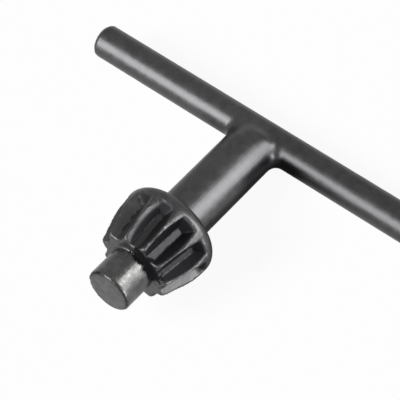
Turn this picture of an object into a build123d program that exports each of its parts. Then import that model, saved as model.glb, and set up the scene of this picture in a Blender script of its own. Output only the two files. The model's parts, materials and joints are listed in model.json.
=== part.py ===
"""Drill chuck key: a one-piece forged tee handle with a bevel gear and a pilot.

All lengths are in millimetres. The key is drawn upright in its own axes: Z runs along the
shank from the pilot's end face to the handle bar, and X runs along the bar. At the end it is
laid down with Z up, as it rests on a bench: on the collar behind its teeth, on the crown of its
shank and on one end of its bar.
"""

import os
from math import asin, atan2, cos, degrees, hypot, radians, sin, tan

from build123d import *

# Pilot: the plain spigot that turns in the chuck body's hole
PILOT_DIAMETER = 8.0
PILOT_LENGTH = 6.2
PILOT_CHAMFER = 0.25
PILOT_ROOT_FILLET = 0.3

# Gear blank: the teeth swell from the front rim to the collar that backs them up
GEAR_DIAMETER = 17.16
GEAR_FRONT_DIAMETER = 13.2
GEAR_LENGTH = 8.7
GEAR_RIM_CHAMFER = 0.3
COLLAR_ROUND = 2.3
COLLAR_BACK_ANGLE = 78.0
NECK_FILLET = 0.8

# Teeth: straight gaps with a flat floor that rises to the rear, and a sloping end wall
TEETH = 11
FIRST_GAP_ANGLE = 11.0
GAP_LENGTH = 7.2
GAP_FRONT_DEPTH = 1.0
GAP_FLOOR_WIDTH = 1.15
GAP_FLOOR_ANGLE = 9.4
GAP_FRONT_FLANK_ANGLE = 55.0
GAP_REAR_FLANK_ANGLE = 32.0
GAP_END_ANGLE = 36.0

# Shank and handle bar
SHANK_DIAMETER = 9.14
SHANK_CROWN_ROUND = 1.6
SHANK_CROWN_DROP = 1.2
BAR_STATION = 40.0
BAR_DIAMETER = 6.0
BAR_LENGTH = 70.0
BAR_END_CHAMFER = 0.6
TEE_FILLET = 1.8

pilot_radius = PILOT_DIAMETER / 2
gear_radius = GEAR_DIAMETER / 2
gear_front_radius = GEAR_FRONT_DIAMETER / 2
shank_radius = SHANK_DIAMETER / 2
bar_radius = BAR_DIAMETER / 2

# The tops of the teeth lie on one arc, which is level where the gear is widest
swell_height = gear_radius - gear_front_radius
swell_radius = (GEAR_LENGTH**2 + swell_height**2) / (2 * swell_height)
widest_station = PILOT_LENGTH + GEAR_LENGTH
crown_station = BAR_STATION - SHANK_CROWN_DROP

with BuildPart() as blank:
    with BuildSketch(Plane.XZ) as half_section:
        with BuildLine():
            face = Line((0, 0), (pilot_radius - PILOT_CHAMFER, 0))
            edge = Line(face @ 1, (pilot_radius, PILOT_CHAMFER))
            pilot = Line(edge @ 1, (pilot_radius, PILOT_LENGTH))
            front = Line(pilot @ 1, (gear_front_radius, PILOT_LENGTH))
            swell = RadiusArc(front @ 1, (gear_radius, widest_station), -swell_radius)
            collar = JernArc(swell @ 1, (0, 1), COLLAR_ROUND, COLLAR_BACK_ANGLE)
            back_length = ((collar @ 1).X - shank_radius) / sin(radians(COLLAR_BACK_ANGLE))
            back = PolarLine(collar @ 1, back_length, 90 + COLLAR_BACK_ANGLE)
            shank = Line(back @ 1, (shank_radius, crown_station - SHANK_CROWN_ROUND))
            crown = JernArc(shank @ 1, (0, 1), SHANK_CROWN_ROUND, 90)
            Polyline(crown @ 1, (0, crown_station), (0, 0))
        make_face()
        fillet(half_section.vertices().sort_by_distance(pilot @ 1)[0], radius=PILOT_ROOT_FILLET)
        chamfer(half_section.vertices().sort_by_distance(front @ 1)[0], length=GEAR_RIM_CHAMFER)
        fillet(half_section.vertices().sort_by_distance(back @ 1)[0], radius=NECK_FILLET)
    revolve(axis=Axis.Z)

# One gap stands over the X axis. Its flanks open from the rear to the front rim
gap_floor_front = gear_front_radius - GAP_FRONT_DEPTH
gap_top = gear_radius + GAP_FRONT_DEPTH
gap_half_width = GAP_FLOOR_WIDTH / 2
gap_end = PILOT_LENGTH + GAP_LENGTH
lean = radians(GAP_END_ANGLE)


def gap_floor(station):
    """Radius of the gap's floor at this distance from the pilot's face."""
    return gap_floor_front + (station - PILOT_LENGTH) * tan(radians(GAP_FLOOR_ANGLE))


def gap_half_mouth(station, flank_angle):
    """Half the cutter's width at its top, for flanks at this angle to the radius."""
    return gap_half_width + (gap_top - gap_floor(station)) * tan(radians(flank_angle))


gap_sections = ((PILOT_LENGTH, GAP_FRONT_FLANK_ANGLE), (widest_station, GAP_REAR_FLANK_ANGLE))
with BuildPart() as tooth_gap:
    for station, flank_angle in gap_sections:
        floor = gap_floor(station)
        mouth = gap_half_mouth(station, flank_angle)
        with BuildSketch(Plane.XY.offset(station)):
            with BuildLine():
                Polyline(
                    (floor, -gap_half_width),
                    (floor, gap_half_width),
                    (gap_top, mouth),
                    (gap_top, -mouth),
                    close=True,
                )
            make_face()
    loft(ruled=True)
    end_wall = Plane((gap_floor(gap_end), 0, gap_end), z_dir=(-sin(lean), 0, cos(lean)))
    split(bisect_by=end_wall, keep=Keep.BOTTOM)

with BuildPart() as upright_key:
    add(blank)
    with BuildSketch(Plane.YZ.offset(-BAR_LENGTH / 2)):
        with Locations((0, BAR_STATION)):
            Circle(bar_radius)
    extrude(amount=BAR_LENGTH)
    fillet(upright_key.edges(Select.NEW), radius=TEE_FILLET)
    chamfer(upright_key.faces().filter_by(Plane.YZ).edges(), length=BAR_END_CHAMFER)
    with PolarLocations(radius=0, count=TEETH, start_angle=FIRST_GAP_ANGLE):
        add(tooth_gap, mode=Mode.SUBTRACT)

# Lying down, the floor touches the collar and the shank's crown: their common tangent is the tilt
crown_height = shank_radius - SHANK_CROWN_ROUND
contact_run = crown_station - SHANK_CROWN_ROUND - widest_station
contact_rise = gear_radius - COLLAR_ROUND - crown_height
contact_distance = hypot(contact_run, contact_rise)
tilt = atan2(contact_rise, contact_run) + asin((COLLAR_ROUND - SHANK_CROWN_ROUND) / contact_distance)

# Then the key rolls on those two rounds until one end of the bar comes down to the floor
crown_axis_height = SHANK_CROWN_ROUND + crown_height * cos(tilt)
bar_height = crown_axis_height - (SHANK_CROWN_DROP + SHANK_CROWN_ROUND) * sin(tilt)
end_reach = BAR_LENGTH / 2 - BAR_END_CHAMFER
bar_slope = asin(bar_height / hypot(end_reach, bar_radius)) - atan2(bar_radius, end_reach)
roll = asin(sin(bar_slope) / cos(tilt))

shank_direction = Vector(-cos(tilt), 0, -sin(tilt))
bar_direction = Vector(0, 1, 0).rotate(Axis((0, 0, 0), shank_direction), degrees(roll))
tip_height = bar_height + BAR_STATION * sin(tilt)
with BuildPart(Plane((0, 0, tip_height), x_dir=bar_direction, z_dir=shank_direction)) as lying_key:
    add(upright_key)

# The origin is the middle of the key's footprint
footprint = lying_key.part.bounding_box().center()
with BuildPart(Plane((-footprint.X, -footprint.Y, 0))) as chuck_key:
    add(lying_key)

chuck_key.part.label = "chuck_key"
os.makedirs("parts", exist_ok=True)
export_step(chuck_key.part, "parts/chuck_key.step")

print("tilt and roll at rest, degrees:", round(degrees(tilt), 3), round(degrees(roll), 3))
print("pilot's face centre:", -footprint.X, -footprint.Y, tip_height)
print("box:", chuck_key.part.bounding_box())
print("volume:", round(chuck_key.part.volume, 1))
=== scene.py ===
# %% [markdown]
# # A drill chuck key in dark steel
#
# This lesson dresses one small forging, the key that opens and closes a geared drill chuck.
# The real key is a single piece of steel: a pilot that turns in the chuck's hole, a bevel gear
# that drives the chuck's ring, a shank, and a round bar to turn it by. The CAD model has every
# one of these forms, so Blender's work is the surface: edges worn round and bright, a black
# oxide skin that is rubbed thin where hands and chucks touch it, and soft studio light.

import json
from math import cos, pi, radians, tan

import bpy
import numpy as np
from mathutils import Matrix, Vector


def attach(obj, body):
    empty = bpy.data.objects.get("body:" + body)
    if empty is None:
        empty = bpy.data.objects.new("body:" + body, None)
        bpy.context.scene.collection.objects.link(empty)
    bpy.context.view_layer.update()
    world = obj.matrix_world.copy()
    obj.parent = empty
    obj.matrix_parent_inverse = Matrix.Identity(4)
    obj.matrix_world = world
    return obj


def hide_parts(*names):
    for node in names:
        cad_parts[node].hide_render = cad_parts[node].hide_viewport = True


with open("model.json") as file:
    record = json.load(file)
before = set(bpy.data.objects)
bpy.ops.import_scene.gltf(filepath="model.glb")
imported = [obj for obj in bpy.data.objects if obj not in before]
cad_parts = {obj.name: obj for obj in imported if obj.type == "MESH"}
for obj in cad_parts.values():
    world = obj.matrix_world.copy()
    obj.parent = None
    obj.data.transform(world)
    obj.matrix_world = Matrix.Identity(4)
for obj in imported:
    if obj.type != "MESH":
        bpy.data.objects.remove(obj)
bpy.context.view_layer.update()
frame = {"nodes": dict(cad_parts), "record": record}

# %% [markdown]
# ## The key's own axes
#
# The key lies leaning on a bench, but it is easier to think along its shank. The record gives
# a point on the pilot's axis and the way that the pilot points, and the handle bar crosses that
# axis at a right angle, rolled a little because one end of the bar touches the bench. With
# these three directions, any place on the key is so far along the shank, so far along the bar
# and so far above the plane of the tee.

# %% Find the axes
MM = 0.001
PILOT_MOUNT_STATION = 3.075 * MM
KEY_ROLL = 1.739

mounts = {mount["name"]: mount for mount in frame["record"]["mounts"]}
pilot_mount = mounts["pilot"]
to_tip = Vector(pilot_mount["axis"]).normalized()
tip = Vector(pilot_mount["pos_m"]) + PILOT_MOUNT_STATION * to_tip
to_handle = -to_tip
along_bar = Matrix.Rotation(radians(KEY_ROLL), 3, to_handle) @ Vector((0, 1, 0))
above_tee = along_bar.cross(to_handle)


def direction_on_key(axial, across, above):
    """A direction in the world, from its shares along the key's three axes."""
    return axial * to_handle + across * along_bar + above * above_tee


def point_on_key(axial, across, above):
    """The point in the world at these distances from the middle of the pilot's end face."""
    return tip + direction_on_key(axial, across, above)


print("tip", tip, "above the tee", above_tee)

# %% [markdown]
# ## The camera
#
# A long lens looks down on the key from the pilot's side. The picture is square, so the width of
# the sensor and the focal length alone set how much it takes in. The camera looks at a point
# on the shank, and the up side of the picture is the up side of the tee.

# %% Place the camera
AIM_STATION = 23.2 * MM
CAMERA_AXIAL = -123.2 * MM
CAMERA_ACROSS = 117.2 * MM
CAMERA_ABOVE = 248.0 * MM
FOCAL_LENGTH = 172.1
SENSOR_WIDTH = 36.0
CLIP_START = 0.01

aim = point_on_key(AIM_STATION, 0, 0)
eye = point_on_key(CAMERA_AXIAL, CAMERA_ACROSS, CAMERA_ABOVE)
backwards = (eye - aim).normalized()
rightwards = above_tee.cross(backwards).normalized()
upwards = backwards.cross(rightwards)

camera_data = bpy.data.cameras.new("camera")
camera_data.lens = FOCAL_LENGTH
camera_data.sensor_width = SENSOR_WIDTH
camera_data.sensor_fit = "HORIZONTAL"
camera_data.clip_start = CLIP_START
camera = bpy.data.objects.new("camera", camera_data)
bpy.context.scene.collection.objects.link(camera)
turn = Matrix((rightwards, upwards, backwards)).transposed().to_4x4()
camera.matrix_world = Matrix.Translation(eye) @ turn
bpy.context.scene.camera = camera
print("camera at", eye, "looking at", aim)

# %% [markdown]
# ## Three soft boxes
#
# On polished round steel a lamp shows as a bright band, and each band lies where the surface
# turns halfway between the camera and the lamp. The soft box on the left makes the band on the
# handle bar, and the one on the right the bands on the shank and the pilot. A third one stands
# low, for the flanks of the teeth that face to the right. Light linking keeps all three to the
# key. The floor has a lamp of its own, so either can be set without the other.

# %% Stand the soft boxes
SOFTBOX_DISTANCE = 0.35
LEFT_SOFTBOX = (-0.83, -0.38, 0.41)
RIGHT_SOFTBOX = (0.48, 0.69, 0.54)
LOW_SOFTBOX = (-0.10, 0.97, 0.14)

key_only = bpy.data.collections.new("key only")


def softbox(name, direction, width, height, power):
    """Stands a soft box at this direction from the shank, for the key alone."""
    data = bpy.data.lights.new(name, "AREA")
    data.shape = "RECTANGLE"
    data.size = width
    data.size_y = height
    data.energy = power
    lamp = bpy.data.objects.new(name, data)
    bpy.context.scene.collection.objects.link(lamp)
    axial, across, above = Vector(direction).normalized() * SOFTBOX_DISTANCE
    lamp.location = point_on_key(AIM_STATION + axial, across, above)
    lamp.rotation_euler = (lamp.location - aim).to_track_quat("Z", "Y").to_euler()
    lamp.light_linking.receiver_collection = key_only
    print(name, "at", lamp.location)


softbox("softbox_left", LEFT_SOFTBOX, width=0.32, height=0.28, power=1.55)
softbox("softbox_right", RIGHT_SOFTBOX, width=0.14, height=0.34, power=1.0)
softbox("softbox_low", LOW_SOFTBOX, width=0.17, height=0.17, power=0.9)

# %% [markdown]
# ## The world
#
# Steel mirrors all that stands round it, so the world is what fills the space between the
# bands. A level of a half gives the key its grey. A world as bright as that would also flood
# the floor and wash the key's shadow away, so diffuse rays find a far darker one.

# %% Light the world
WHITE = (1, 1, 1, 1)
WORLD_LEVEL = 0.5
DIFFUSE_WORLD_LEVEL = 0.05

world = bpy.data.worlds.new("studio")
bpy.context.scene.world = world
world.use_nodes = True
world_tree = world.node_tree
background = world_tree.nodes["Background"]
background.inputs["Color"].default_value = WHITE
world_sight = world_tree.nodes.new("ShaderNodeLightPath")
world_level = world_tree.nodes.new("ShaderNodeMapRange")
world_level.inputs["To Min"].default_value = WORLD_LEVEL
world_level.inputs["To Max"].default_value = DIFFUSE_WORLD_LEVEL
world_tree.links.new(world_sight.outputs["Is Diffuse Ray"], world_level.inputs["Value"])
world_tree.links.new(world_level.outputs["Result"], background.inputs["Strength"])
bpy.context.scene.view_settings.view_transform = "Standard"
print("world level", WORLD_LEVEL, "and for diffuse rays", DIFFUSE_WORLD_LEVEL)

# %% [markdown]
# ## The floor
#
# The key lies on white paper. To the camera the floor glows nearly white by itself, and only
# the small rest of it is paper that takes a shadow, so the shadow stays faint. In the mirror of
# the steel it is the other way round: there the floor is nearly all paper, and the dark shadow
# on it is what darkens the underside of the shank and the bar. The floor's own lamp is a broad
# sun on the pilot's side, so the shadow has a soft edge.

# %% Helpers for materials
def plug(tree, value, socket):
    """Links an output to a socket, or writes a plain value on it."""
    if isinstance(value, bpy.types.NodeSocket):
        tree.links.new(value, socket)
    else:
        socket.default_value = value


def maths(tree, operation, *values):
    """A sum, a product or the like of outputs and numbers."""
    node = tree.nodes.new("ShaderNodeMath")
    node.operation = operation
    for value, socket in zip(values, node.inputs):
        plug(tree, value, socket)
    return node.outputs["Value"]


# %% Make the floor
FLOOR_SIZE = 4.0
FLOOR_COLOUR = (0.92, 0.92, 0.92, 1)
FLOOR_ROUGHNESS = 0.9
WHITE_TO_THE_CAMERA = 0.94
WHITE_IN_METAL = 0.05

bpy.ops.mesh.primitive_plane_add(size=FLOOR_SIZE, location=(0, 0, 0))
floor = bpy.context.object
floor.name = "floor"
floor_material = bpy.data.materials.new("floor")
floor_material.use_nodes = True
floor_tree = floor_material.node_tree
paper = floor_tree.nodes["Principled BSDF"]
paper.inputs["Base Color"].default_value = FLOOR_COLOUR
paper.inputs["Roughness"].default_value = FLOOR_ROUGHNESS
paper.inputs["Specular IOR Level"].default_value = 0.0

sight = floor_tree.nodes.new("ShaderNodeLightPath").outputs
in_metal = maths(floor_tree, "MAXIMUM", sight["Is Glossy Ray"], sight["Is Transmission Ray"])
in_metal = maths(floor_tree, "MULTIPLY", in_metal, WHITE_IN_METAL)
glow_share = maths(
    floor_tree, "MULTIPLY_ADD", sight["Is Camera Ray"], WHITE_TO_THE_CAMERA, in_metal
)
glow = floor_tree.nodes.new("ShaderNodeEmission")
floor_mix = floor_tree.nodes.new("ShaderNodeMixShader")
floor_tree.links.new(glow_share, floor_mix.inputs["Fac"])
floor_tree.links.new(paper.outputs["BSDF"], floor_mix.inputs[1])
floor_tree.links.new(glow.outputs["Emission"], floor_mix.inputs[2])
floor_output = floor_tree.nodes["Material Output"]
floor_tree.links.new(floor_mix.outputs["Shader"], floor_output.inputs["Surface"])
floor.data.materials.append(floor_material)
print("floor", FLOOR_SIZE, "metres across")

# %% Give the floor its own lamp
FLOOR_LAMP = (-0.70, -0.40, 0.50)
FLOOR_LAMP_STRENGTH = 3.8
FLOOR_LAMP_ANGLE = radians(24)

sun_data = bpy.data.lights.new("floor_sun", "SUN")
sun_data.energy = FLOOR_LAMP_STRENGTH
sun_data.angle = FLOOR_LAMP_ANGLE
floor_sun = bpy.data.objects.new("floor_sun", sun_data)
bpy.context.scene.collection.objects.link(floor_sun)
floor_sun.rotation_euler = direction_on_key(*FLOOR_LAMP).to_track_quat("Z", "Y").to_euler()
floor_only = bpy.data.collections.new("floor only")
floor_only.objects.link(floor)
floor_sun.light_linking.receiver_collection = floor_only
print("floor lamp turned to", floor_sun.rotation_euler)

# %% [markdown]
# ## The forging's skin
#
# The CAD mesh has perfectly sharp edges and long thin triangles. Steel that is forged, cut and
# then carried about has no such edges: each is worn to a small round that catches the light. A
# bevel modifier would trip over the thin triangles, so the key is made again as one closed skin
# of small even squares. These are drawn back onto the CAD surface, and then only the edges are
# smoothed, so the flats and cylinders stay where they were.

# %% Copy the CAD key
MERGE_DISTANCE = 0.001 * MM

for selected in bpy.context.selected_objects:
    selected.select_set(False)
cad_key = frame["nodes"]["chuck_key"]


def merged_copy(name):
    """A copy of the CAD key with its loose triangles joined up."""
    copy = bpy.data.objects.new(name, cad_key.data.copy())
    bpy.context.scene.collection.objects.link(copy)
    bpy.context.view_layer.objects.active = copy
    copy.select_set(True)
    bpy.ops.object.mode_set(mode="EDIT")
    bpy.ops.mesh.select_all(action="SELECT")
    bpy.ops.mesh.remove_doubles(threshold=MERGE_DISTANCE)
    bpy.ops.object.mode_set(mode="OBJECT")
    copy.select_set(False)
    return copy


def apply_to(piece, modifier):
    """Applies one modifier of a piece."""
    bpy.context.view_layer.objects.active = piece
    bpy.ops.object.modifier_apply(modifier=modifier.name)


guide = merged_copy("guide")
key = merged_copy("chuck_key_skin")
print("corners in the CAD key:", len(guide.data.vertices))

# %% Make the even squares
VOXEL = 0.204 * MM

remesh = key.modifiers.new("even squares", "REMESH")
remesh.mode = "VOXEL"
remesh.voxel_size = VOXEL
apply_to(key, remesh)
print("squares in the skin:", len(key.data.polygons))

wrap = key.modifiers.new("back onto the CAD surface", "SHRINKWRAP")
wrap.wrap_method = "NEAREST_SURFACEPOINT"
wrap.target = guide
apply_to(key, wrap)
bpy.data.objects.remove(guide)

# %% [markdown]
# ## Finding the edges
#
# Each point of the skin is compared with the mean of its neighbours. On a flat the two agree,
# on an outer edge the mean lies below the surface, and in a corner it lies above. This number
# picks out what to smooth, and later says where the oxide is rubbed off.

# %% Measure how the skin bends
BEND_OF_AN_EDGE = 0.10
EDGE_SPREAD = 2


def vertex_array(mesh, name):
    """One row of numbers for each vertex."""
    numbers = np.empty(len(mesh.vertices) * 3)
    mesh.vertices.foreach_get(name, numbers)
    return numbers.reshape(-1, 3)


def neighbour_mean(mesh, numbers):
    """For each vertex, the mean of what its neighbours hold."""
    ends = np.empty(len(mesh.edges) * 2, int)
    mesh.edges.foreach_get("vertices", ends)
    ends = ends.reshape(-1, 2)
    total = np.zeros_like(numbers)
    count = np.zeros(len(mesh.vertices))
    for here, there in ((0, 1), (1, 0)):
        np.add.at(total, ends[:, here], numbers[ends[:, there]])
        np.add.at(count, ends[:, here], 1)
    return total / (count[:, None] if numbers.ndim == 2 else count)


def outward_bend(mesh):
    """Above zero on an outer edge and below zero in a corner, in squares of the skin."""
    places = vertex_array(mesh, "co")
    normals = vertex_array(mesh, "normal")
    return np.einsum("ij,ij->i", places - neighbour_mean(mesh, places), normals) / VOXEL


edge_strength = np.abs(outward_bend(key.data))
for _ in range(EDGE_SPREAD):
    edge_strength = np.maximum(edge_strength, neighbour_mean(key.data, edge_strength))
near_edge = edge_strength > BEND_OF_AN_EDGE
print("share of the skin near an edge:", round(float(near_edge.mean()), 3))

# %% [markdown]
# ## Worn edges and softer forms
#
# A Smooth modifier moves each point towards its neighbours, and a vertex group says how far. A
# few passes wear the edges round. At the tee the real forging flows together more softly than a
# fillet does, so hundreds of passes blend the shank's crown into the bar, fully on the left and
# less on the right. The weights fade out along the bar and round its back, because smoothing
# that stops short leaves a step. The rear ends of the two gaps on the left are softened too.

# %% Wear the edges
SMOOTHING = 0.5
EDGE_PASSES = 3


def soften(piece, name, weights, passes):
    """Smooths a piece as far as each vertex's weight says, and keeps the weights as a group."""
    group = piece.vertex_groups.new(name=name)
    for weight in np.unique(weights[weights > 0]):
        group.add(np.flatnonzero(weights == weight).tolist(), float(weight), "REPLACE")
    smooth = piece.modifiers.new(name, "SMOOTH")
    smooth.vertex_group = name
    smooth.factor = SMOOTHING
    smooth.iterations = passes
    apply_to(piece, smooth)
    print(f"softened the {name}: {np.count_nonzero(weights)} points, {passes} passes")


soften(key, "edges", near_edge.astype(float), EDGE_PASSES)

# %% Blend the tee
TEE_STATION = 38.8 * MM
TEE_REACH = 3.5 * MM
TEE_WIDTH = 5.6 * MM
TEE_MIDDLE = 0.6 * MM
TEE_PASSES = 700
LEFT_TO_RIGHT = (-1.0 * MM, 2.5 * MM)
BLEND_LEFT_AND_RIGHT = (1.0, 0.1)
FADE_ALONG_BAR = (3.8 * MM, TEE_WIDTH)
FADE_ROUND_BAR = (39.5 * MM, 41.2 * MM)
FADE = (1.0, 0.0)

key_axes = np.array((to_handle, along_bar, above_tee))


def places_on_key(mesh):
    """For each vertex, how far it is along the shank, along the bar and above the tee."""
    return (vertex_array(mesh, "co") - np.array(tip)) @ key_axes.T


axial, across, above = places_on_key(key.data).T
in_tee = (np.abs(axial - TEE_STATION) < TEE_REACH) & (np.abs(across) < TEE_WIDTH)
in_tee = in_tee & (np.abs(above) > TEE_MIDDLE)
blend = np.interp(across, LEFT_TO_RIGHT, BLEND_LEFT_AND_RIGHT)
blend = blend * np.interp(np.abs(across), FADE_ALONG_BAR, FADE)
blend = np.round(blend * np.interp(axial, FADE_ROUND_BAR, FADE), 2)
soften(key, "tee", np.where(in_tee, blend, 0.0), TEE_PASSES)

# %% Soften the ends of two gaps
RUN_OUT_TURNS = (-47.0, 17.0)
RUN_OUT_STATIONS = (12.4 * MM, 15.4 * MM)
RUN_OUT_RADIUS = 5.5 * MM
RUN_OUT_PASSES = 60


def between(numbers, low, high):
    """True where the numbers lie between these two."""
    return (numbers > low) & (numbers < high)


turned = np.degrees(np.arctan2(across, above))
in_run_out = between(turned, *RUN_OUT_TURNS) & between(axial, *RUN_OUT_STATIONS)
in_run_out = in_run_out & (np.hypot(across, above) > RUN_OUT_RADIUS)
soften(key, "run-outs", in_run_out.astype(float), RUN_OUT_PASSES)

# %% [markdown]
# ## Dents and nicks
#
# Forged steel is never quite even, and its edges are nicked by other tools in the drawer. A
# Displace modifier with a cloudy texture sinks both into the skin: wide and very shallow dents
# all over, and narrow, deeper nicks along the edges alone. Its middle level is 1, so that it
# only ever takes metal away.

# %% Sink the dents and nicks
DENT_WIDTH = 1.1 * MM
DENT_DEPTH = 0.022 * MM
NICK_WIDTH = 0.5 * MM
NICK_DEPTH = 0.10 * MM


def sink(piece, name, width, depth, vertex_group=""):
    """Sinks cloudy hollows of this width and depth into a piece, never above its surface."""
    clouds = bpy.data.textures.new(name, "CLOUDS")
    clouds.noise_scale = width
    displace = piece.modifiers.new(name, "DISPLACE")
    displace.texture = clouds
    displace.texture_coords = "LOCAL"
    displace.strength = depth
    displace.mid_level = 1.0
    displace.vertex_group = vertex_group
    apply_to(piece, displace)
    print(f"sank the {name}, {depth / MM:.3f} mm at most")


sink(key, "dents", DENT_WIDTH, DENT_DEPTH)
sink(key, "nicks", NICK_WIDTH, NICK_DEPTH, "edges")
bpy.context.view_layer.objects.active = key
key.select_set(True)
bpy.ops.object.shade_smooth()
key.select_set(False)

# %% [markdown]
# ## Maps for the finish and the painted light
#
# The finish isn't the same all over. The pilot is rubbed brighter by the chuck, the flanks of
# the gaps are black, partly with black oxide and partly with painted shade, their floors are a
# darker grey of painted shade, and a dark smear is painted round the pilot's root. Painted shade
# also lies in the gaps' corners, on the pilot's chamfer and at the tee, and one flank has a
# painted highlight. Each of these is a map: a number on every vertex, worked out from its place
# along the key and the way it faces, for the material to read.

# %% Helpers for the maps
skin = key.data


def ramp(numbers, low, high):
    """Rises smoothly from 0 at low to 1 at high."""
    share = np.clip((numbers - low) / (high - low), 0, 1)
    return share * share * (3 - 2 * share)


def fall(numbers, low, high):
    """Falls smoothly from 1 at low to 0 at high."""
    return 1 - ramp(numbers, low, high)


def around_zero(angles, inner, outer):
    """1 where the angle is within the inner one, and 0 where it is past the outer one."""
    return ramp(np.cos(angles), cos(outer), cos(inner))


def blurred(numbers, passes):
    """Spreads numbers on the skin over their neighbours."""
    for _ in range(passes):
        numbers = 0.5 * numbers + 0.5 * neighbour_mean(skin, numbers)
    return numbers


def store(name, numbers):
    """Keeps one number for each vertex of the skin under this name."""
    layer = skin.attributes.new(name, "FLOAT", "POINT")
    layer.data.foreach_set("value", numbers.astype(np.float32))
    print(f"map {name}: mean {numbers.mean():.3f}, most {numbers.max():.3f}")


# %% Measure places and directions on the worn skin
axial, across, above = places_on_key(skin).T
facing_across, facing_above = (vertex_array(skin, "normal") @ key_axes.T).T[1:]
radius = np.hypot(across, above)
around = np.arctan2(across, above)
from_axis = np.maximum(radius, MM)
facing_out = (facing_across * across + facing_above * above) / from_axis
facing_round = (facing_across * above - facing_above * across) / from_axis
worn_bend = outward_bend(skin)
print("largest radius in mm:", round(radius.max() / MM, 2))

# %% [markdown]
# ## The gaps between the teeth
#
# The tops of the teeth lie on one arc, and each gap has a flat floor that rises to the rear.
# What lies under the arc is in a gap, and what lies on the flat is its floor. Deep in the gaps
# the flanks are black, partly black oxide and partly painted shade, blackest in the gap that
# lies uppermost and in its neighbours and on the end walls at the rear. On a flank that drives
# the chuck's ring the black starts deeper down, one flank is grazed grey, and one flank gets a
# painted highlight.

# %% Find the gaps
PILOT_LENGTH = 6.2 * MM
GEAR_LENGTH = 8.7 * MM
GEAR_RADIUS = 8.58 * MM
GEAR_FRONT_RADIUS = 6.6 * MM
GEAR_FRONT_STATIONS = (PILOT_LENGTH, PILOT_LENGTH + 0.3 * MM)
COLLAR_STATIONS = (14.8 * MM, 15.2 * MM)
TEETH = 11
GAP_FLOOR_FRONT = 5.6 * MM
GAP_FLOOR_ANGLE = radians(9.4)
UPPERMOST_GAP = radians(35.5)
FLOOR_SKIN = (0.04 * MM, 0.12 * MM)
FLOOR_FACING = (0.80, 0.92)

swell_height = GEAR_RADIUS - GEAR_FRONT_RADIUS
swell_radius = (GEAR_LENGTH**2 + swell_height**2) / (2 * swell_height)
from_widest = np.clip(PILOT_LENGTH + GEAR_LENGTH - axial, 0, GEAR_LENGTH)
tooth_top = np.sqrt(swell_radius**2 - from_widest**2) + GEAR_RADIUS - swell_radius
depth = tooth_top - radius
in_gear = ramp(axial, *GEAR_FRONT_STATIONS) * fall(axial, *COLLAR_STATIONS)

gap_turn = 2 * pi / TEETH
gap_centre = UPPERMOST_GAP + np.round((around - UPPERMOST_GAP) / gap_turn) * gap_turn
floor_height = GAP_FLOOR_FRONT + (axial - PILOT_LENGTH) * tan(GAP_FLOOR_ANGLE)
over_floor = radius * np.cos(around - gap_centre) - floor_height
gap_floor = in_gear * fall(over_floor, *FLOOR_SKIN) * ramp(facing_out, *FLOOR_FACING)
store("gap_floor", gap_floor)

# %% Blacken the flanks with oxide and painted shade
ONE_GAP = (0.4 * gap_turn, 0.6 * gap_turn)
THREE_GAPS = (1.4 * gap_turn, 1.6 * gap_turn)
FLANK_FACING = (0.2, 0.5)
RUBBED_DEPTH = (0.45 * MM, 1.0 * MM)
PLAIN_DEPTH = (0.10 * MM, 0.45 * MM)
END_WALL_STATIONS = (13.0 * MM, 13.8 * MM)
END_WALL_BLACK = 0.9
LEAST_BLACK = 0.15
GRAZED_LOSS = 0.5

from_uppermost = gap_centre - UPPERMOST_GAP
uppermost = around_zero(from_uppermost, *ONE_GAP)
settled = around_zero(from_uppermost, *THREE_GAPS)
grazed = around_zero(from_uppermost + gap_turn, *ONE_GAP)
trailing = ramp(-facing_round, *FLANK_FACING)
driving = ramp(facing_round, *FLANK_FACING) * (1 - uppermost)
sunk = driving * ramp(depth, *RUBBED_DEPTH) + (1 - driving) * ramp(depth, *PLAIN_DEPTH)
end_wall = ramp(axial, *END_WALL_STATIONS)
black_share = np.maximum(settled, END_WALL_BLACK * end_wall)
black_share = LEAST_BLACK + (1 - LEAST_BLACK) * black_share
black_share = black_share * (1 - GRAZED_LOSS * grazed * trailing)
# Black oxide and painted shade deep in the gaps
store("gap_oxide_and_shade", in_gear * sunk * (1 - gap_floor) * black_share)

# %% Paint a highlight on one flank
LIGHT_FLANK_DEPTH = (0.0, 0.2 * MM)
LIGHT_FLANK_STATIONS = (8.0 * MM, 11.5 * MM)

lowest_seen = around_zero(from_uppermost - 2 * gap_turn, *ONE_GAP)
# Painted highlight: one flank of the gap two below the uppermost is made lighter
flank_highlight = in_gear * lowest_seen * trailing * ramp(depth, *LIGHT_FLANK_DEPTH)
flank_highlight = flank_highlight * fall(axial, *LIGHT_FLANK_STATIONS)
store("flank_highlight", flank_highlight * (1 - gap_floor) * (1 - end_wall))

# %% [markdown]
# ## The pilot, the edges, the painted shade and the dark smear
#
# Edges that stand out are worn to bare metal, except round the pilot's end, where the small
# chamfer is painted as a thin dark line of painted shade, with one bright spot at its top.
# Corners that stand in get painted shade. At the pilot's root a dark, ragged smear is painted
# over one side of the root and onto the front of the gear. Each ramp runs from one station,
# radius or turn to another, and one name holds both.

# %% Wear the pilot and the edges, and paint shade on the chamfer
WORN_BEND = (0.04, 0.20)
WORN_BLUR = 2
PILOT_RIM_STATIONS = (0.5 * MM, 0.9 * MM)
BRIGHT_SPOT = (radians(3), radians(12))
CHAMFER_STATIONS = (0.22 * MM, 0.42 * MM)
CHAMFER_RADII = (3.58 * MM, 3.72 * MM)
CHAMFER_FADE_TURNS = (0, radians(30))
CHAMFER_DARK = 0.95
CHAMFER_LOSS = 0.3
PILOT_END_STATIONS = (PILOT_LENGTH - 0.3 * MM, PILOT_LENGTH + 0.1 * MM)

worn = blurred(ramp(worn_bend, *WORN_BEND), WORN_BLUR)
bright_spot = around_zero(around, *BRIGHT_SPOT)
store("worn", worn * (1 - fall(axial, *PILOT_RIM_STATIONS) * (1 - bright_spot)))
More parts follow.
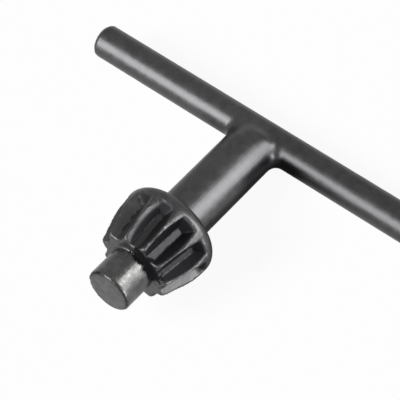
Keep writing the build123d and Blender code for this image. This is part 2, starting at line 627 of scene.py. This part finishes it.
# Painted shade: the chamfer round the pilot's end is darkened, except at the bright spot
in_chamfer = fall(axial, *CHAMFER_STATIONS) * ramp(radius, *CHAMFER_RADII)
chamfer_share = CHAMFER_DARK - CHAMFER_LOSS * ramp(around, *CHAMFER_FADE_TURNS)
store("chamfer_shade", in_chamfer * (1 - bright_spot) * chamfer_share)
store("pilot", fall(axial, *PILOT_END_STATIONS))

# %% Paint shade into the corners and a dark smear at the pilot's root
CORNER_BEND = (0.03, 0.18)
CORNER_BLUR = 3
CORNER_HEIGHT = (0.2 * MM, 0.6 * MM)
CORNER_SHADE_RANGE = (0.1, 0.5)
ROOT_STARTS = (PILOT_LENGTH - 1.5 * MM, PILOT_LENGTH - 0.2 * MM)
ROOT_ENDS = (PILOT_LENGTH + 0.4 * MM, PILOT_LENGTH + 1.2 * MM)
ROOT_RADII = (5.2 * MM, 6.6 * MM)
SMEAR_MIDDLE = radians(46)
SMEAR_WIDTH = (radians(20), radians(62))

# Painted shade in the corners at the bottom of the gaps
corner = blurred(ramp(-worn_bend, *CORNER_BEND), CORNER_BLUR)
corner = corner * in_gear * fall(over_floor, *CORNER_HEIGHT)
store("corner_shade", ramp(corner, *CORNER_SHADE_RANGE))
# A dark smear is painted over one side of the pilot's root and the front of the gear
at_root = ramp(axial, *ROOT_STARTS) * fall(axial, *ROOT_ENDS) * fall(radius, *ROOT_RADII)
store("root", at_root * around_zero(around - SMEAR_MIDDLE, *SMEAR_WIDTH))

# %% [markdown]
# ## Painted shade at the tee
#
# The two inner corners of the tee are painted dark, as painted shade, more so on the right,
# where it also dims a highlight. From there it fades out down the shank and along the bar. The
# right half of the bar is a little darker all over, again as painted shade.

# %% Paint shade into the tee's corners
FORK_STARTS = (26.0 * MM, 31.5 * MM)
FORK_ENDS = (39.0 * MM, 41.0 * MM)
FORK_INSIDE = (3.2 * MM, 4.1 * MM)
FORK_OUTSIDE = (8.0 * MM, 13.0 * MM)
FORK_FACING = (0.42, 0.66)
FORK_RIGHT = 0.85
FORK_LEFT = 0.40
RIGHT_SHADE_STARTS = (30.0 * MM, 35.0 * MM)
RIGHT_SHADE_SIDE = (-2.0 * MM, 3.0 * MM)
RIGHT_SHADE_SHARE = 0.22

from_shank = np.abs(across)
# Painted shade: the tee's inner corners are darkened, more on the right, and the right half a
# little all over
tee_shade = ramp(axial, *FORK_STARTS) * fall(axial, *FORK_ENDS)
tee_shade = tee_shade * ramp(from_shank, *FORK_INSIDE) * fall(from_shank, *FORK_OUTSIDE)
tee_shade = tee_shade * fall(facing_above, *FORK_FACING) * np.where(across > 0, FORK_RIGHT, FORK_LEFT)
right_half_shade = ramp(axial, *RIGHT_SHADE_STARTS) * ramp(across, *RIGHT_SHADE_SIDE)
store("tee_shade", np.maximum(tee_shade, RIGHT_SHADE_SHARE * right_half_shade))

# %% [markdown]
# ## Black oxide steel
#
# A chemical blackening leaves a thin dark skin on steel. It reflects like a dull mirror with
# hardly any colour of its own. The material starts from that skin, with a cloudy mottle and a
# fine grain, and then lays the other finishes, the painted shade and the painted highlight over
# it where the maps say so. Two of them get a ragged edge from noise: bare metal shows only in
# patches, and the dark smear at the pilot's root frays out.

# %% Helpers for the material
steel = bpy.data.materials.new("black_oxide_steel")
steel.use_nodes = True
steel_tree = steel.node_tree
shader = steel_tree.nodes["Principled BSDF"]
place = steel_tree.nodes.new("ShaderNodeTexCoord").outputs["Object"]


def noise(width, detail, roughness=0.55):
    """Cloudy noise from 0 to 1 whose clouds are about this wide."""
    node = steel_tree.nodes.new("ShaderNodeTexNoise")
    node.inputs["Scale"].default_value = 1 / width
    node.inputs["Detail"].default_value = detail
    node.inputs["Roughness"].default_value = roughness
    steel_tree.links.new(place, node.inputs["Vector"])
    return node.outputs["Fac"]


def spread(value, low, high, to_low=0.0, to_high=1.0):
    """Stretches the range from low to high over the range from to_low to to_high."""
    node = steel_tree.nodes.new("ShaderNodeMapRange")
    node.interpolation_type = "SMOOTHSTEP"
    for socket, number in zip(node.inputs, (value, low, high, to_low, to_high)):
        plug(steel_tree, number, socket)
    return node.outputs["Result"]


# A mix node has sockets for each kind of value: 2 and 3 take numbers, and 6 and 7 take colours
def blend_colours(share, under, over):
    """Lays one colour over another by a share."""
    node = steel_tree.nodes.new("ShaderNodeMix")
    node.data_type = "RGBA"
    plug(steel_tree, share, node.inputs["Factor"])
    plug(steel_tree, under, node.inputs[6])
    plug(steel_tree, over, node.inputs[7])
    return node.outputs[2]


def blend_values(share, under, over):
    """Goes from one value to another by a share."""
    node = steel_tree.nodes.new("ShaderNodeMix")
    plug(steel_tree, share, node.inputs["Factor"])
    plug(steel_tree, under, node.inputs[2])
    plug(steel_tree, over, node.inputs[3])
    return node.outputs[0]


def map_on_skin(name):
    """Reads one of the maps on the skin."""
    node = steel_tree.nodes.new("ShaderNodeAttribute")
    node.attribute_name = name
    return node.outputs["Fac"]


print("material", steel.name)

# %% Mix the colour
OXIDE_DARK = (0.094, 0.094, 0.096, 1)
OXIDE_LIGHT = (0.112, 0.112, 0.115, 1)
PILOT_DARK = (0.108, 0.108, 0.107, 1)
PILOT_LIGHT = (0.148, 0.148, 0.146, 1)
OXIDE_AND_SHADE_BLACK = (0.016, 0.016, 0.018, 1)
GAP_FLOOR_SHADE_GREY = (0.060, 0.060, 0.063, 1)
FLANK_HIGHLIGHT_GREY = (0.158, 0.158, 0.160, 1)
BARE_STEEL = (0.26, 0.26, 0.26, 1)
SMEAR_AND_SHADE_BLACK = (0.016, 0.016, 0.018, 1)
MOTTLE_WIDTH = 1.4 * MM
PATCH_WIDTH = 0.8 * MM
OXIDE_CLOUDS = (0.35, 0.65)
PILOT_CLOUDS = (0.40, 0.62)
BARE_PATCHES = (0.50, 0.70)
SMEAR_PATCHES = (0.35, 0.65)
SMEAR_FRAY = 0.42
SMEAR_EDGE = (0.44, 0.60)

mottle = noise(MOTTLE_WIDTH, detail=6.0)
patches = noise(PATCH_WIDTH, detail=5.0, roughness=0.7)

oxide = blend_colours(spread(mottle, *OXIDE_CLOUDS), OXIDE_DARK, OXIDE_LIGHT)
rubbed = blend_colours(spread(mottle, *PILOT_CLOUDS), PILOT_DARK, PILOT_LIGHT)
colour = blend_colours(map_on_skin("pilot"), oxide, rubbed)
# Painted shade: the gaps' floors are a darker grey than the oxide
colour = blend_colours(map_on_skin("gap_floor"), colour, GAP_FLOOR_SHADE_GREY)
# The gaps' flanks go black, partly as oxide and partly as painted shade
colour = blend_colours(map_on_skin("gap_oxide_and_shade"), colour, OXIDE_AND_SHADE_BLACK)
# Painted highlight on one flank of the teeth
colour = blend_colours(map_on_skin("flank_highlight"), colour, FLANK_HIGHLIGHT_GREY)
# Painted shade in the gaps' corners
colour = blend_colours(map_on_skin("corner_shade"), colour, SMEAR_AND_SHADE_BLACK)
bare = maths(steel_tree, "MULTIPLY", map_on_skin("worn"), spread(patches, *BARE_PATCHES))
colour = blend_colours(bare, colour, BARE_STEEL)
# The dark smear at the pilot's root, with a ragged edge
fray = spread(patches, *SMEAR_PATCHES, -SMEAR_FRAY, SMEAR_FRAY)
dark_smear = spread(maths(steel_tree, "ADD", map_on_skin("root"), fray), *SMEAR_EDGE)
colour = blend_colours(dark_smear, colour, SMEAR_AND_SHADE_BLACK)
# Painted shade on the pilot's chamfer
colour = blend_colours(map_on_skin("chamfer_shade"), colour, OXIDE_AND_SHADE_BLACK)
# Painted shade in the tee's corners and on the right half of the bar
colour = blend_colours(map_on_skin("tee_shade"), colour, OXIDE_AND_SHADE_BLACK)
steel_tree.links.new(colour, shader.inputs["Base Color"])
print("colour mixed from", len(steel_tree.nodes), "nodes")

# %% Set the shine and the grain
OXIDE_SHINE_CLOUDS = (0.3, 0.7)
OXIDE_ROUGHNESS = (0.35, 0.40)
PILOT_SHINE_PATCHES = (0.35, 0.65)
PILOT_ROUGHNESS = (0.26, 0.38)
BLACK_ROUGHNESS = 0.55
SMEAR_ROUGHNESS = 0.8
GRAIN_WIDTH = 0.25 * MM
GRAIN_STRENGTH = 0.25
GRAIN_HEIGHT = 0.02 * MM

shine = spread(mottle, *OXIDE_SHINE_CLOUDS, *OXIDE_ROUGHNESS)
polish = spread(patches, *PILOT_SHINE_PATCHES, *PILOT_ROUGHNESS)
shine = blend_values(map_on_skin("pilot"), shine, polish)
shine = blend_values(map_on_skin("gap_oxide_and_shade"), shine, BLACK_ROUGHNESS)
shine = blend_values(dark_smear, shine, SMEAR_ROUGHNESS)
steel_tree.links.new(shine, shader.inputs["Roughness"])
shader.inputs["Metallic"].default_value = 1.0

grain = noise(GRAIN_WIDTH, detail=3.0)
bump = steel_tree.nodes.new("ShaderNodeBump")
bump.inputs["Strength"].default_value = GRAIN_STRENGTH
bump.inputs["Distance"].default_value = GRAIN_HEIGHT
steel_tree.links.new(grain, bump.inputs["Height"])
steel_tree.links.new(bump.outputs["Normal"], shader.inputs["Normal"])
key.data.materials.clear()
key.data.materials.append(steel)
print("steel has", len(steel_tree.nodes), "nodes")

# %% [markdown]
# ## Handing the key over
#
# The skin is the whole key, so it rides on the one body and stands in for the CAD node. Light
# linking needs to know it as well: it is the one thing that the soft boxes light.

# %% Hand the key over
key_only.objects.link(key)
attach(key, "root")
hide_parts("chuck_key")
